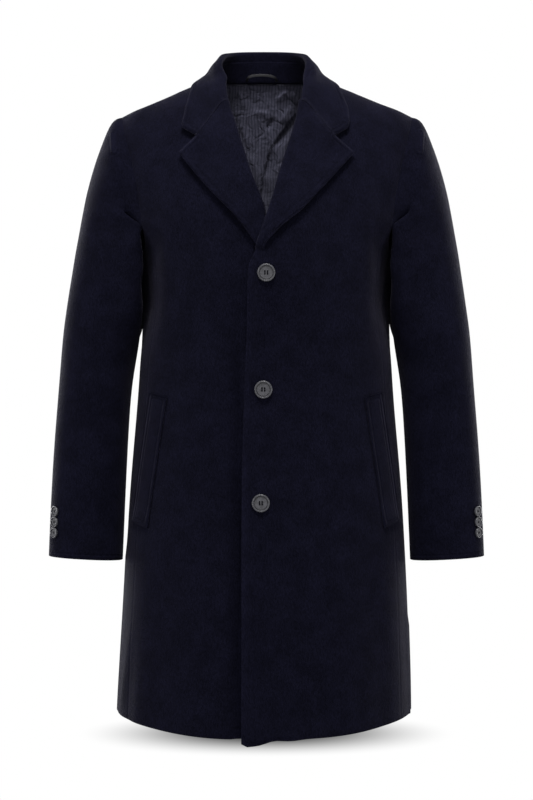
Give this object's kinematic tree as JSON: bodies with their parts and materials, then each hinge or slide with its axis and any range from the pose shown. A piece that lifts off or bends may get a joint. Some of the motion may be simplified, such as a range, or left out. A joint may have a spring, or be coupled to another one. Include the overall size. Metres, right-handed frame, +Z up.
{
  "type": "overcoat",
  "caption": "Single-breasted wool overcoat with notched lapels, slanted welt pockets and set-in sleeves, filled out as worn and hollow.",
  "frame": {"origin": "between the neck points, level with the neck seam at the shoulders, where the shoulders carry the coat", "axes": "+Z up, -Y the coat's front, +X the wearer's left"},
  "size_m": [0.646, 0.3219, 1.0245],
  "materials": {
    "navy_wool": "brushed wool with a short nap",
    "grey_lining": "smooth lining with fine stripes",
    "grey_satin": "satin",
    "grey_button": "half gloss"
  },
  "bodies": {
    "root": {"front_left": "navy_wool", "front_right": "navy_wool", "side_panel_left": "navy_wool", "side_panel_right": "navy_wool", "back_left": "navy_wool", "back_right": "navy_wool", "sleeve_top_left": "navy_wool", "sleeve_top_right": "navy_wool", "sleeve_under_left": "navy_wool", "sleeve_under_right": "navy_wool", "collar_stand": "navy_wool", "collar_fall": "navy_wool", "lapel_left": "navy_wool", "lapel_right": "navy_wool", "pocket_welt_left": "navy_wool", "pocket_welt_right": "navy_wool", "lining_back": "grey_lining", "hanger_loop": "grey_satin", "front_button_1": "grey_button", "front_button_2": "grey_button", "front_button_3": "grey_button", "cuff_button_left_1": "grey_button", "cuff_button_left_2": "grey_button", "cuff_button_left_3": "grey_button", "cuff_button_right_1": "grey_button", "cuff_button_right_2": "grey_button", "cuff_button_right_3": "grey_button"}
  },
  "joints": []
}
